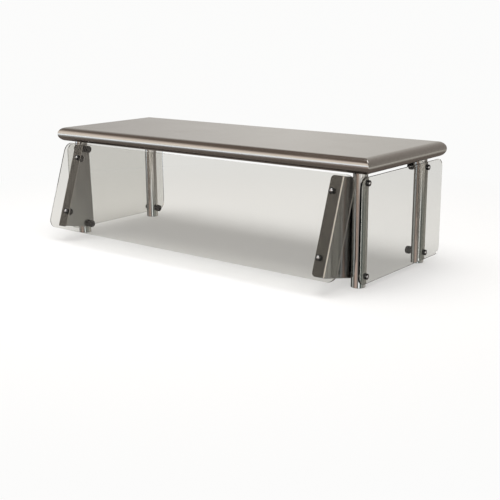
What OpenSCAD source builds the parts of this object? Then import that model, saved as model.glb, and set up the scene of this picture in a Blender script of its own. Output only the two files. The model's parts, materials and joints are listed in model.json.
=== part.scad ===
// Counter-mounted sneeze guard: a rolled-edge steel shelf on four round posts, a glass
// panel on each end and a sloping glass panel along the front.
//
// X runs along the counter, -Y is the guest's side, +Z is up. The origin is on the
// counter, midway between the four posts. Left and right are as the guest sees them.

/* [Posts] */
// Distance between the left and right post centres
post_span_x = 1118; // [600:1:1800]
// Distance between the front and rear post centres
post_span_y = 334; // [240:1:600]
// Height of a post, from the counter to the shelf
post_h = 321; // [260:1:600]
// Outer diameter of a post
post_d = 41; // [30:0.5:50]
// Wall of a post's tube
post_wall = 1.6; // [1:0.1:3]
// Height of the plugs welded into a post's ends
plug_h = 22; // [14:1:24]

/* [Shelf] */
// Shelf beyond the post centres, at each end
shelf_over_x = 57; // [46:1:120]
// Shelf beyond the post centres, at the front and the rear
shelf_over_y = 55; // [44:1:120]
// Thickness of the shelf over its rolled edges
shelf_t = 45; // [30:1:50]
// Sheet that the shelf is folded from
shelf_sheet = 1.5; // [1:0.1:2.5]
// Lip turned in under the rolled edge
edge_lip = 8; // [5:1:10]
// Sheet that the channels under the shelf are folded from
channel_sheet = 2; // [1.5:0.1:3]
// Flange on each side of a channel
channel_flange = 9; // [6:1:10]
// Width of the web of the long stiffener
stiffener_w = 70; // [40:1:120]
// Depth of the long stiffener
stiffener_h = 24; // [12:1:26]

/* [Glass] */
// Thickness of every glass panel
glass_t = 6; // [4:0.5:10]
// End glass beyond the front post centres
end_front = 38; // [30:1:42]
// End glass beyond the rear post centres
end_rear = 88; // [30:1:140]
// Gap between the counter and the end glass
end_gap_low = 13; // [8:1:20]
// Gap between the end glass and the shelf
end_gap_high = 12; // [8:1:20]
// Corner radius of the end glass
end_corner_r = 25; // [5:1:40]
// Front glass beyond the post centres, at each end
front_over_x = 19; // [5:1:60]
// Front glass above the brackets' top corners, along the slope
front_rise = 4; // [0:1:5]
// Gap between the counter and the front glass
front_gap_low = 42; // [20:1:120]
// Corner radius of the front glass
front_corner_r = 30; // [5:1:40]

/* [Brackets] */
// Slope of the front glass from upright, in degrees
front_tilt = 19; // [8:0.5:28]
// Sheet that a bracket is folded from
bracket_sheet = 2; // [1.5:0.1:3]
// Width of the flange that carries the front glass
flange_w = 40; // [32:1:60]
// Gap between the counter and the flange
flange_gap_low = 50; // [20:1:120]
// Rounding of the flange's free corners
flange_corner_r = 11; // [3:1:15]
// Top of the bend, forward of the front post centres
bracket_reach = 46; // [40:1:80]
// Top of the bend, below the shelf
bracket_drop = 8; // [6:1:30]
// Side plate behind the post centres, at its top
plate_back_top = 13; // [11:1:25]
// Side plate behind the post centres, at its foot
plate_back_low = 20; // [11:1:30]
// Top corner of the side plate's rear edge, below the top of the bend
plate_back_drop = 12; // [0:1:20]
// Gap between the counter and the side plate's rear corner
plate_gap_low = 16; // [8:1:18]
// Outer bend radius of a bracket
bend_r = 4; // [3.5:0.5:6]

/* [Clamp bolts] */
// Diameter of the bolts that clamp the glass
bolt_d = 6; // [5:0.5:8]
// Height of the lower end glass bolts
bolt_low = 33; // [30:1:60]
// Upper end glass bolts, below the shelf
bolt_drop = 29; // [29:1:60]
// Diameter of a bolt's domed head
head_d = 11; // [10:0.5:14]
// Height of a bolt's domed head
head_h = 3.6; // [2.5:0.1:5]
// Hexagon socket of a bolt head, across flats
socket_af = 4; // [3:0.5:5]
// Depth of that socket
socket_deep = 2.2; // [1:0.1:3]
// Diameter of the rubber washer under a bolt head
pad_d = 17; // [15:0.5:22]
// Thickness of that washer
pad_t = 1.5; // [1:0.1:3]
// Thinnest part of a rubber saddle between a post and what is clamped to it
saddle_t = 1.5; // [1:0.1:4]
// Diameter of a saddle
saddle_d = 18; // [14:0.5:22]
// Wall of the nylon sleeve round a bolt in a glass hole
sleeve_wall = 1.2; // [0.8:0.1:2]
// Distance of the front glass bolts from the flange's bend
screw_side = 27; // [20:1:30]
// Distance of the upper front glass bolts down the slope
screw_high = 43; // [30:1:80]
// Distance of the lower front glass bolts up the slope from the flange's foot
screw_low = 52; // [30:1:80]
// Bolt end left showing inside a knob, short of its crown
bolt_short = 5; // [3:0.5:8]

/* [Knobs] */
// Diameter of a knob
knob_d = 24; // [20:0.5:32]
// Height of a knob
knob_h = 17; // [15:0.5:25]
// Diameter of the boss on the clamping side of a knob
knob_boss_d = 15; // [14:0.5:18]
// Height of that boss
knob_boss_h = 4; // [2:0.5:6]
// Radius of the crown's rounded rim
knob_round = 4; // [2:0.5:5]
// Number of flutes round a knob
knob_flutes = 14; // [8:1:20]
// Depth of a flute
flute_deep = 0.9; // [0.5:0.1:1.2]
// Radius of a flute
flute_r = 1.6; // [1:0.1:2]
// Diameter of the brass insert moulded into a knob
insert_d = 10; // [8.5:0.5:12]

/* [Frame bolts] */
// Thread in the posts' plugs
frame_bolt_d = 10; // [8:1:12]
// Length of a shelf bolt under its head
shelf_bolt_len = 20; // [12:1:22]
// Shelf bolt head, across flats
shelf_head_af = 16; // [13:1:19]
// Height of a shelf bolt's head
shelf_head_h = 6.4; // [5:0.1:8]
// Diameter of a shelf bolt's washer
shelf_washer_d = 21; // [18:1:24]
// Thickness of a shelf bolt's washer
shelf_washer_t = 2; // [1:0.1:3]

/* [Hidden] */
$fn = 96;
// Clearances
weld_gap = 0.1;     // round a plug in its tube
thread_gap = 0.1;   // between a bolt and a thread that holds it
turn_gap = 0.05;    // between a bolt and a knob that turns on it
face_gap = 0.3;     // between a knob and what it clamps
hole_gap = 0.4;     // round a bolt in sheet metal
sleeve_gap = 0.1;   // inside and outside a sleeve
channel_gap = 2;    // between a channel and the lip of a rolled edge
cut = 1;            // how far a cutting shape runs past a face
r_post = post_d / 2;
r_bolt = bolt_d / 2;
r_hole = r_bolt + hole_gap;
r_sleeve = r_bolt + sleeve_gap + sleeve_wall;
r_glass_hole = r_sleeve + sleeve_gap;
post_x = post_span_x / 2;
post_y = post_span_y / 2;
// Shelf
edge_r = shelf_t / 2;
shelf_top = post_h + shelf_t;
shelf_half_x = post_x + shelf_over_x;
shelf_half_y = post_y + shelf_over_y;
hem_h = 6;
mitre = edge_r + edge_lip;
channel_w = 2 * (shelf_over_x - mitre - channel_gap);
channel_len = 2 * (shelf_half_y - mitre - channel_gap);
channel_h = shelf_t - shelf_sheet;
stiffener_len = 2 * (post_x - channel_w / 2 - channel_flange - channel_gap);
// Stack across an end glass joint, from the post's axis outwards
glass_in = r_post + saddle_t;
glass_out = glass_in + glass_t;
head_seat = glass_out + pad_t;
// Stack on the inner side of a post
plate_out = r_post + saddle_t;
plate_in = plate_out + bracket_sheet;
// Bends of the brackets: the top corner, and the way down the slope
bend_y = -post_y - bracket_reach;
bend_z = post_h - bracket_drop;
flange_x = post_x - plate_out;
screw_x = flange_x - screw_side;
bolt_high = post_h - bolt_drop;
flange_len = (bend_z - flange_gap_low) / cos(front_tilt);
front_len = (bend_z - front_gap_low) / cos(front_tilt) + front_rise;
front_half_x = post_x + front_over_x;
insert_h = knob_boss_h + 8;

// Places of the repeated pieces: name, side along X, side along Y
SIDES = [["left", -1], ["right", 1]];
CORNERS = [["left_front", -1, -1], ["left_rear", -1, 1],
           ["right_front", 1, -1], ["right_rear", 1, 1]];
// Upper and lower bolts: name, height on a post, distance down the slope
LEVELS = [["upper", bolt_high, screw_high], ["lower", bolt_low, flange_len - screw_low]];

steel = [0.62, 0.61, 0.59];
polished = [0.74, 0.75, 0.76];
sheet_dark = [0.42, 0.41, 0.40];
clear = [0.75, 0.84, 0.82, 0.35];
black = [0.04, 0.04, 0.045];
rubber = [0.07, 0.07, 0.07];
nylon = [0.86, 0.86, 0.83];
zinc = [0.66, 0.67, 0.68];
brass = [0.71, 0.57, 0.30];

// A point of the Y-Z plane, seen from the top of the bend with Z along the slope
function on_slope(y, z) =
    [(y - bend_y) * cos(front_tilt) - (z - bend_z) * sin(front_tilt),
     (y - bend_y) * sin(front_tilt) + (z - bend_z) * cos(front_tilt)];

// Puts a child that is drawn on the slope where the slope is
module slope() {
    translate([0, bend_y, bend_z]) rotate([-front_tilt, 0, 0]) children();
}

// Puts a child that is drawn along +Z on a clamp bolt, with +Z pointing from the post's
// axis inwards (1) or outwards (-1)
module at_post(side_x, side_y, height, inwards = 1) {
    translate([side_x * post_x, side_y * post_y, height])
        rotate([0, -inwards * side_x * 90, 0]) children();
}

// Puts a child that is drawn along +Z, from the flange's front face backwards, on the slope
module at_flange(side, down) {
    slope() translate([side * screw_x, 0, -down]) rotate([-90, 0, 0]) children();
}

module all_post_bolts(inwards = 1) {
    for (c = CORNERS, l = LEVELS) at_post(c[1], c[2], l[1], inwards) children();
}

module all_flange_bolts() {
    for (s = SIDES, l = LEVELS) at_flange(s[1], l[2]) children();
}

module ring(r_out, r_in, h) {
    difference() {
        cylinder(h = h, r = r_out);
        translate([0, 0, -cut]) cylinder(h = h + 2 * cut, r = r_in);
    }
}

// A rectangle from low to high, with each corner rounded by the radius r
module round_rect(low, high, r) {
    translate([low[0] + r, low[1]]) square([high[0] - low[0] - 2 * r, high[1] - low[1]]);
    translate([low[0], low[1] + r]) square([high[0] - low[0], high[1] - low[1] - 2 * r]);
    for (x = [low[0] + r, high[0] - r], y = [low[1] + r, high[1] - r])
        translate([x, y]) circle(r = r);
}

// ---- Shelf ----

// Section of a rolled edge: half a ring bulging to +X, its lip and the lip's hem
module edge_section() {
    intersection() {
        difference() {
            circle(r = edge_r);
            circle(r = edge_r - shelf_sheet);
        }
        translate([0, -edge_r]) square([edge_r, shelf_t]);
    }
    translate([-edge_lip, -edge_r]) square([edge_lip, shelf_sheet]);
    translate([-edge_lip, -edge_r]) square([shelf_sheet, hem_h]);
}

// A rolled edge bulging to +X, for a side of length 2 * half, mitred at both ends
module rolled_edge(half, out) {
    translate([out, 0, post_h + edge_r])
        intersection() {
            translate([-edge_r, 0, 0]) rotate([90, 0, 0])
                linear_extrude(2 * half, center = true) edge_section();
            linear_extrude(2 * shelf_t, center = true)
                polygon([[0, -half], [0, half], [-mitre - cut, half - mitre - cut],
                         [-mitre - cut, -half + mitre + cut]]);
        }
}

module shelf_pan() {
    color(steel) union() {
        translate([-shelf_half_x + edge_r, -shelf_half_y + edge_r, shelf_top - shelf_sheet])
            cube([2 * (shelf_half_x - edge_r), 2 * (shelf_half_y - edge_r), shelf_sheet]);
        for (turn = [0, 180]) rotate(turn) rolled_edge(shelf_half_y, shelf_half_x);
        for (turn = [90, 270]) rotate(turn) rolled_edge(shelf_half_x, shelf_half_y);
    }
}

// Section of a channel with its web down: web, two walls, two flanges
module hat_section(w, h) {
    t = channel_sheet;
    translate([-w / 2, 0]) square([w, t]);
    for (side = [-1, 1]) {
        translate([side * (w / 2 - t / 2) - t / 2, 0]) square([t, h]);
        translate([side * (w / 2 + channel_flange / 2) - channel_flange / 2, h - t])
            square([channel_flange, t]);
    }
}

module shelf_channel(side) {
    color(zinc) difference() {
        translate([side * post_x, 0, post_h]) rotate([90, 0, 0])
            linear_extrude(channel_len, center = true) hat_section(channel_w, channel_h);
        for (y = [-post_y, post_y])
            translate([side * post_x, y, post_h - cut])
                cylinder(h = channel_sheet + 2 * cut, r = frame_bolt_d / 2 + hole_gap);
    }
}

module shelf_stiffener() {
    color(zinc) translate([0, 0, shelf_top - shelf_sheet - stiffener_h])
        rotate([90, 0, 90]) linear_extrude(stiffener_len, center = true)
            hat_section(stiffener_w, stiffener_h);
}

// ---- Posts ----

module post(side_x, side_y) {
    color(polished) difference() {
        translate([side_x * post_x, side_y * post_y, 0])
            ring(r_post, r_post - post_wall, post_h);
        for (l = LEVELS) at_post(side_x, side_y, l[1])
            cylinder(h = 2 * post_d, r = r_hole, center = true);
    }
}

// Plugs with a thread right through, in the ends of the posts at height z
module post_plugs(z) {
    color(zinc) for (c = CORNERS) translate([c[1] * post_x, c[2] * post_y, z])
        ring(r_post - post_wall - weld_gap, frame_bolt_d / 2, plug_h);
}

module shelf_bolts() {
    seat = post_h + channel_sheet + shelf_washer_t;
    color(zinc) for (c = CORNERS) translate([c[1] * post_x, c[2] * post_y, seat]) {
        cylinder(h = shelf_head_h, d = shelf_head_af / cos(30), $fn = 6);
        translate([0, 0, -shelf_bolt_len])
            cylinder(h = shelf_bolt_len + cut, r = frame_bolt_d / 2 - thread_gap);
    }
}

module shelf_bolt_washers() {
    color(zinc) for (c = CORNERS)
        translate([c[1] * post_x, c[2] * post_y, post_h + channel_sheet])
            ring(shelf_washer_d / 2, frame_bolt_d / 2 + hole_gap, shelf_washer_t);
}

// ---- End glass and its clamps ----

module end_glass(side) {
    low = [-post_y - end_front, end_gap_low];
    high = [post_y + end_rear, post_h - end_gap_high];
    color(clear) difference() {
        translate([side * (post_x + glass_in + glass_t / 2), 0, 0]) rotate([90, 0, 90])
            linear_extrude(glass_t, center = true) round_rect(low, high, end_corner_r);
        for (c = CORNERS, l = LEVELS)
            if (c[1] == side) at_post(side, c[2], l[1])
                translate([0, 0, -glass_out - cut])
                    cylinder(h = glass_t + 2 * cut, r = r_glass_hole);
    }
}

// Bolt along +Z with its head's seat at z = 0: a domed head with a socket, and a shank
module clamp_bolt(shank) {
    cap_r = (pow(head_d / 2, 2) + pow(head_h, 2)) / (2 * head_h);
    difference() {
        union() {
            intersection() {
                translate([0, 0, cap_r - head_h]) sphere(r = cap_r);
                translate([0, 0, -head_h]) cylinder(h = head_h, r = head_d / 2);
            }
            translate([0, 0, -cut]) cylinder(h = shank + cut, r = r_bolt);
        }
        translate([0, 0, -head_h - cut])
            cylinder(h = socket_deep + cut, d = socket_af / cos(30), $fn = 6);
    }
}

module end_glass_bolts() {
    for (c = CORNERS) {
        clamped = c[2] < 0 ? plate_in : plate_out;
        shank = head_seat + clamped + face_gap + knob_h - bolt_short;
        for (l = LEVELS) color(polished) at_post(c[1], c[2], l[1])
            translate([0, 0, -head_seat]) clamp_bolt(shank);
    }
}

module end_glass_head_washers() {
    color(rubber) all_post_bolts() translate([0, 0, -head_seat])
        ring(pad_d / 2, r_bolt + sleeve_gap, pad_t);
}

// Washer along +Z from the post's axis, hollowed on one face to sit on the post
module saddle() {
    difference() {
        cylinder(h = r_post + saddle_t, r = saddle_d / 2);
        translate([0, 0, -cut]) cylinder(h = r_post + saddle_t + 2 * cut, r = r_bolt + sleeve_gap);
        rotate([0, 90, 0]) cylinder(h = 2 * saddle_d, r = r_post, center = true);
    }
}

module end_glass_saddles() {
    color(rubber) all_post_bolts(-1) saddle();
}

// Saddles on the inner side of the posts at the front (-1) or at the rear (1)
module inner_saddles(side_y) {
    color(rubber) for (c = CORNERS, l = LEVELS)
        if (c[2] == side_y) at_post(c[1], c[2], l[1]) saddle();
}

module end_glass_sleeves() {
    color(nylon) all_post_bolts() translate([0, 0, -glass_out])
        ring(r_sleeve, r_bolt + sleeve_gap, glass_t);
}

// ---- Brackets and front glass ----

// Side plate of a bracket, as Y and Z on the slope. Its front edge starts at the bend.
module plate_outline() {
    rear_top = on_slope(-post_y + plate_back_top, bend_z - plate_back_drop);
    rear_low = on_slope(-post_y + plate_back_low, plate_gap_low);
    polygon([[bend_r, 0], rear_top, rear_low, [bend_r, -flange_len]]);
}

// Right-hand bracket, drawn on the slope: flange, bend and side plate
module bracket_on_slope() {
    t = bracket_sheet;
    inner = flange_x - flange_w;
    // Flange: square at the bend, rounded at its free corners
    rotate([90, 0, 0]) translate([0, 0, -t]) linear_extrude(t) {
        translate([inner + flange_corner_r, -flange_len])
            square([flange_w - flange_corner_r - bend_r, flange_len]);
        round_rect([inner, -flange_len], [flange_x - bend_r, 0], flange_corner_r);
    }
    // Bend: a quarter of a ring
    translate([flange_x - bend_r, bend_r, -flange_len]) linear_extrude(flange_len)
        intersection() {
            difference() {
                circle(r = bend_r);
                circle(r = bend_r - t);
            }
            translate([0, -bend_r]) square(bend_r);
        }
    translate([flange_x - t, 0, 0]) rotate([90, 0, 90]) linear_extrude(t) plate_outline();
}

module bracket_right_solid() {
    difference() {
        slope() bracket_on_slope();
        for (l = LEVELS) {
            at_post(1, -1, l[1]) cylinder(h = 2 * post_d, r = r_hole);
            at_flange(1, l[2]) translate([0, 0, -cut])
                cylinder(h = bracket_sheet + 2 * cut, r = r_hole);
        }
    }
}

module bracket(side) {
    color(sheet_dark) if (side > 0) bracket_right_solid();
    else mirror([1, 0, 0]) bracket_right_solid();
}

module front_glass() {
    low = [-front_half_x, front_rise - front_len];
    high = [front_half_x, front_rise];
    color(clear) difference() {
        slope() translate([0, -pad_t, 0]) rotate([90, 0, 0]) linear_extrude(glass_t)
            round_rect(low, high, front_corner_r);
        all_flange_bolts() translate([0, 0, -pad_t - glass_t - cut])
            cylinder(h = glass_t + 2 * cut, r = r_glass_hole);
    }
}

module front_glass_bolts() {
    stack = pad_t + glass_t + pad_t;
    shank = stack + bracket_sheet + face_gap + knob_h - bolt_short;
    color(polished) all_flange_bolts() translate([0, 0, -stack]) clamp_bolt(shank);
}

// Rubber washers with their front face at z on each front glass bolt
module front_glass_rubbers(z) {
    color(rubber) all_flange_bolts() translate([0, 0, z])
        ring(pad_d / 2, r_bolt + sleeve_gap, pad_t);
}

module front_glass_sleeves() {
    color(nylon) all_flange_bolts() translate([0, 0, -pad_t - glass_t])
        ring(r_sleeve, r_bolt + sleeve_gap, glass_t);
}

// ---- Knobs ----

// Half section of a knob: boss, underside, rim and rounded crown
module knob_section() {
    r = knob_d / 2;
    square([knob_boss_d / 2, knob_boss_h]);
    translate([0, knob_boss_h]) square([r - knob_round, knob_h - knob_boss_h]);
    translate([0, knob_boss_h]) square([r, knob_h - knob_boss_h - knob_round]);
    translate([r - knob_round, knob_h - knob_round]) intersection() {
        circle(r = knob_round);
        square(knob_round);
    }
}

// Knob along +Z with its clamping face at z = 0 and its insert's seat bored out
module knob() {
    color(black) difference() {
        rotate_extrude() knob_section();
        translate([0, 0, -cut]) cylinder(h = insert_h + cut, r = insert_d / 2);
        cylinder(h = knob_h - 3, r = r_bolt + turn_gap);
        for (i = [0:knob_flutes - 1]) rotate(i * 360 / knob_flutes)
            translate([knob_d / 2 + flute_r - flute_deep, 0, knob_boss_h - cut])
                cylinder(h = knob_h, r = flute_r);
    }
}

module insert() {
    color(brass) ring(insert_d / 2, r_bolt + turn_gap, insert_h);
}

for (c = CORNERS, l = LEVELS) {
    seat = (c[2] < 0 ? plate_in : plate_out) + face_gap;
    at_post(c[1], c[2], l[1]) translate([0, 0, seat]) knob();
    at_post(c[1], c[2], l[1]) translate([0, 0, seat]) insert();
}
for (s = SIDES, l = LEVELS) {
    seat = bracket_sheet + face_gap;
    at_flange(s[1], l[2]) translate([0, 0, seat]) knob();
    at_flange(s[1], l[2]) translate([0, 0, seat]) insert();
}
shelf_pan();
shelf_channel(-1);  // shelf_channel_left
shelf_channel(1);  // shelf_channel_right
shelf_stiffener();
post(-1, -1);  // post_left_front
post(-1, 1);  // post_left_rear
post(1, -1);  // post_right_front
post(1, 1);  // post_right_rear
post_plugs(0);  // post_foot_plugs
post_plugs(post_h - plug_h);  // post_top_plugs
shelf_bolts();
shelf_bolt_washers();
end_glass(-1);  // end_glass_left
end_glass(1);  // end_glass_right
front_glass();
bracket(-1);  // bracket_left
bracket(1);  // bracket_right
end_glass_bolts();
end_glass_head_washers();
end_glass_saddles();
inner_saddles(-1);  // bracket_saddles
inner_saddles(1);  // rear_knob_saddles
end_glass_sleeves();
front_glass_bolts();
front_glass_rubbers(-2 * pad_t - glass_t);  // front_glass_head_washers
front_glass_rubbers(-pad_t);  // front_glass_pads
front_glass_sleeves();
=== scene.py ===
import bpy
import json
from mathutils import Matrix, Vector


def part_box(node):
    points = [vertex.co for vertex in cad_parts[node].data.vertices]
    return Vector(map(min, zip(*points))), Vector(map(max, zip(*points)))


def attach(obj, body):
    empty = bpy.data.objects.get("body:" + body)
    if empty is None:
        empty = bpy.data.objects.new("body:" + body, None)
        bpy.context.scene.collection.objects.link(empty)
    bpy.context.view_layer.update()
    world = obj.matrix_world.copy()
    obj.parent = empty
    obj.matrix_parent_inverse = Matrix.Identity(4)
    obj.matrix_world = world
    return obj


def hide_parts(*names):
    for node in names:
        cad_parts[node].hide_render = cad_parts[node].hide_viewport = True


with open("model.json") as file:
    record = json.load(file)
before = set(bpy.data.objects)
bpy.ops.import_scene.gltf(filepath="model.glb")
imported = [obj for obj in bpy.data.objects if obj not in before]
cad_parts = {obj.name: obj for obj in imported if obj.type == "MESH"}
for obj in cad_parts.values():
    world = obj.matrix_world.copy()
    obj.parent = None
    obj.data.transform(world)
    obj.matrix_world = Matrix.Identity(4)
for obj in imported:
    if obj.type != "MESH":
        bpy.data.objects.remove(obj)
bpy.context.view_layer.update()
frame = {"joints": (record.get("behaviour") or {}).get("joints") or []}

import json
import math

import bpy
import numpy as np
from mathutils import Matrix, Vector
from mathutils.geometry import delaunay_2d_cdt

# Counter sneeze guard: a rolled-edge steel shelf on four tube posts, end glass clamped to the
# posts, and a sloping front glass on two folded brackets. Metres throughout.

MM = 0.001
SIDES = {"left": -1, "right": 1}
CORNERS = ("left_front", "left_rear", "right_front", "right_rear")
GUARD = "guard"
UP_Z = (0, 0, 1)


def corners_of(node):
    """Lowest and highest corner of a CAD node as arrays."""
    low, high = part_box(node)
    return np.array(low), np.array(high)


def centre_of(node):
    low, high = corners_of(node)
    return (low + high) / 2


JOINTS = {joint["child"]: joint for joint in frame["joints"]}

# The slope of the front glass comes from the axis of the knobs behind it
SLOPE_AXIS = np.array(JOINTS["glass_knob_right_upper_turning"]["axis"], float)
TILT = math.atan2(-SLOPE_AXIS[2], SLOPE_AXIS[1])


# -------- surfaces

def skin(points, wrap_rows=False):
    """Vertices and quads of a grid of points: rows x columns x 3.

    Each quad joins point (i, j) to its neighbours (i, j + 1), (i + 1, j + 1) and (i + 1, j).
    The columns close round to 0, and so do the rows when they are wrapped.
    """
    rows, cols = points.shape[:2]
    i = np.arange(rows if wrap_rows else rows - 1)[:, None]
    j = np.arange(cols)[None, :]
    below, after = (i + 1) % rows, (j + 1) % cols
    quads = np.stack([i * cols + j, i * cols + after, below * cols + after, below * cols + j], -1)
    return points.reshape(-1, 3), quads.reshape(-1, 4)


def weld(verts, quads):
    """Joins vertices that coincide. A quad with two equal corners becomes a triangle."""
    key = np.round(verts * 1e7).astype(np.int64)
    _, first, index = np.unique(key, axis=0, return_index=True, return_inverse=True)
    quads = index.reshape(-1)[quads]
    same = quads == np.roll(quads, -1, axis=1)
    whole = quads[~same.any(axis=1)]
    bent = same.sum(axis=1) == 1
    short = quads[bent][~same[bent]].reshape(-1, 3)
    return verts[first], [*whole.tolist(), *short.tolist()]


def shell(points, wrap_rows=False):
    """One closed shell, (vertices, faces), from a grid of points."""
    return weld(*skin(points, wrap_rows))


def volume_sign(verts, faces):
    """1 if the faces look outwards: the sum of the tetrahedra from the middle to their triangles."""
    total = 0.0
    middle = verts.mean(axis=0)
    for size in (3, 4):
        part = np.array([face for face in faces if len(face) == size])
        if len(part):
            corner = verts[part] - middle
            for k in range(1, size - 1):
                total += np.einsum("ij,ij->", corner[:, 0], np.cross(corner[:, k], corner[:, k + 1]))
    return 1 if total > 0 else -1


def build(name, shells, material, node, body=GUARD, crease=35.0):
    """One object from closed shells, each (vertices, faces); normals outwards, creases kept sharp."""
    all_verts, all_faces = [], []
    count = 0
    for verts, faces in shells:
        if volume_sign(verts, faces) < 0:
            faces = [face[::-1] for face in faces]
        all_verts.append(verts)
        all_faces += [[corner + count for corner in face] for face in faces]
        count += len(verts)
    mesh = bpy.data.meshes.new(name)
    mesh.from_pydata(np.concatenate(all_verts).tolist(), [], all_faces)
    mesh.polygons.foreach_set("use_smooth", np.ones(len(mesh.polygons), bool))
    mesh.set_sharp_from_angle(angle=math.radians(crease))
    mesh.materials.append(material)
    mesh.update()
    piece = bpy.data.objects.new(name.replace(" ", "-"), mesh)
    bpy.context.scene.collection.objects.link(piece)
    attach(piece, body)
    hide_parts(node)


LEAD = 0.08  # how far before an arc its extra point stands, as a share of the arc's radius


def rounded(corners, radii, steps=6):
    """A closed path through corners, each rounded by an arc of its radius that touches both legs.

    A point just before each arc and one just after it keep the shading of the legs flat.
    """
    corners = np.array(corners, float)
    path = []
    for k, radius in enumerate(radii):
        here = corners[k]
        if radius == 0:
            path.append(here[None])
            continue
        before, after = corners[k - 1] - here, corners[(k + 1) % len(corners)] - here
        before, after = before / np.linalg.norm(before), after / np.linalg.norm(after)
        half = math.acos(np.clip(before @ after, -1, 1)) / 2
        middle = (before + after) / np.linalg.norm(before + after)
        centre = here + middle * radius / math.sin(half)
        turn = np.linspace(-1, 1, steps + 1)[:, None] * (math.pi / 2 - half)
        across = after - middle * (after @ middle)
        across /= np.linalg.norm(across)
        arc = centre - radius * (middle * np.cos(turn) - across * np.sin(turn))
        path += [arc[:1] + before * radius * LEAD, arc, arc[-1:] + after * radius * LEAD]
    return np.concatenate(path)


def turned(profile, steps=64):
    """Surface of revolution: each profile point (radius, height) goes once round the Z axis."""
    angle = np.linspace(0, 2 * math.pi, steps, endpoint=False)
    radius, height = np.array(profile, float).T[:, :, None]
    return np.stack([radius * np.cos(angle), radius * np.sin(angle), height + 0 * angle], -1)


def stand(points, at, along, spin=0.0):
    """Turns a shape made along +Z so that it starts at a point and runs along a direction."""
    along = np.array(along, float) / np.linalg.norm(along)
    side = np.cross([0.0, 0.0, 1.0] if abs(along[2]) < 0.9 else [1.0, 0.0, 0.0], along)
    side /= np.linalg.norm(side)
    other = np.cross(along, side)
    x = side * math.cos(spin) + other * math.sin(spin)
    y = -side * math.sin(spin) + other * math.cos(spin)
    return points @ np.stack([x, y, along]) + np.array(at, float)


def ring_shell(outer, inner, low, high, edge, at, along, steps=64):
    """A washer or tube: its rectangular section, edges rounded, turned round the axis."""
    section = rounded([(inner, low), (outer, low), (outer, high), (inner, high)], [edge] * 4, 4)
    return shell(stand(turned(section, steps), at, along), wrap_rows=True)


def round_rect(low, high, radius, steps=12):
    """Loop of points round a rectangle whose corners are arcs of the radius."""
    corners = [(low[0], low[1]), (high[0], low[1]), (high[0], high[1]), (low[0], high[1])]
    return rounded(corners, [radius] * 4, steps)


def circle(centre, radius, steps=48):
    angle = np.linspace(0, 2 * math.pi, steps, endpoint=False)
    return np.array(centre) + radius * np.stack([np.cos(angle), np.sin(angle)], -1)


def inset(loop, distance):
    """A loop moved inwards along the mean of its two legs' normals; outwards for a clockwise one."""
    ahead = np.roll(loop, -1, axis=0) - loop
    ahead /= np.linalg.norm(ahead, axis=1)[:, None]
    behind = np.roll(ahead, 1, axis=0)
    normal = np.stack([-(ahead + behind)[:, 1], (ahead + behind)[:, 0]], -1)
    normal /= np.linalg.norm(normal, axis=1)[:, None]
    cos_half = np.abs(ahead[:, 0] * -normal[:, 1] + ahead[:, 1] * normal[:, 0])
    return loop + normal * (distance / np.maximum(cos_half, 0.5))[:, None]


def plate(outline, holes, thick, edge, folds=()):
    """A plate in the X-Y plane, from -thick / 2 to thick / 2.

    Each loop's edge is the same section carried round it: a quarter round, a straight and a
    quarter round. The two faces are triangles between the loops; folds are pairs of points of
    the outline that an edge has to join.
    """
    turn = np.linspace(0, math.pi / 2, 5)
    lead = edge * LEAD
    section = [(edge * (1 - math.sin(t)), thick / 2 - edge * (1 - math.cos(t))) for t in turn]
    section = [(edge + lead, thick / 2), *section, (0, thick / 2 - edge - lead)]
    section += [(distance, -height) for distance, height in section[::-1]]
    verts, faces, top, bottom = [], [], [], []
    links = [list(pair) for pair in folds]
    count = flat = 0
    for loop in (outline, *(hole[::-1] for hole in holes)):
        size = len(loop)
        points, quads = skin(np.stack([np.column_stack([inset(loop, inwards), np.full(size, height)])
                                       for inwards, height in section]))
        around = np.arange(size)
        verts.append(points)
        faces += (quads[:, ::-1] + count).tolist()
        top.append(around + count)
        bottom.append(around + count + size * (len(section) - 1))
        links += (np.column_stack([around, np.roll(around, -1)]) + flat).tolist()
        count += len(points)
        flat += size
    verts, top, bottom = (np.concatenate(part) for part in (verts, top, bottom))
    corners = triangles(verts[top, :2], links, [(hole.mean(axis=0), hole, edge) for hole in holes])
    return verts, [*faces, *top[corners].tolist(), *bottom[corners[:, ::-1]].tolist()]


def triangles(spots, links, holes=()):
    """Triangles, as rows of indices, that fill the outline given by links and leave round holes.

    A triangle belongs to a hole when its middle lies inside the hole's circle and edge.
    """
    made = delaunay_2d_cdt([Vector(spot * 100) for spot in spots], links, [], 1, 1e-7)
    origins = made[3]
    rows = np.array([[origins[corner][0] for corner in triangle] for triangle in made[2]])
    for middle, hole, edge in holes:
        away = np.linalg.norm(spots[rows].mean(axis=1) - middle, axis=1)
        rows = rows[away > np.linalg.norm(hole[0] - middle) + 1.1 * edge]
    return rows


# -------- shader groups

def group(name, values, results):
    """An empty shader group that takes a Vector and values: its tree, what goes in, what comes out."""
    tree = bpy.data.node_groups.new(name, "ShaderNodeTree")
    tree.interface.new_socket("Vector", in_out="INPUT", socket_type="NodeSocketVector")
    for value in values:
        tree.interface.new_socket(value, in_out="INPUT", socket_type="NodeSocketFloat")
    for result in results:
        tree.interface.new_socket(result, in_out="OUTPUT", socket_type="NodeSocketFloat")
    return tree, tree.nodes.new("NodeGroupInput").outputs, tree.nodes.new("NodeGroupOutput").inputs


def add(tree, kind, values=None, **settings):
    """A shader node with its settings, and with values put in or linked to its inputs."""
    node = tree.nodes.new("ShaderNode" + kind)
    for key, value in settings.items():
        setattr(node, key, value)
    for key, value in (values or {}).items():
        if isinstance(value, bpy.types.NodeSocket):
            tree.links.new(value, node.inputs[key])
        else:
            node.inputs[key].default_value = value
    return node


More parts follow.
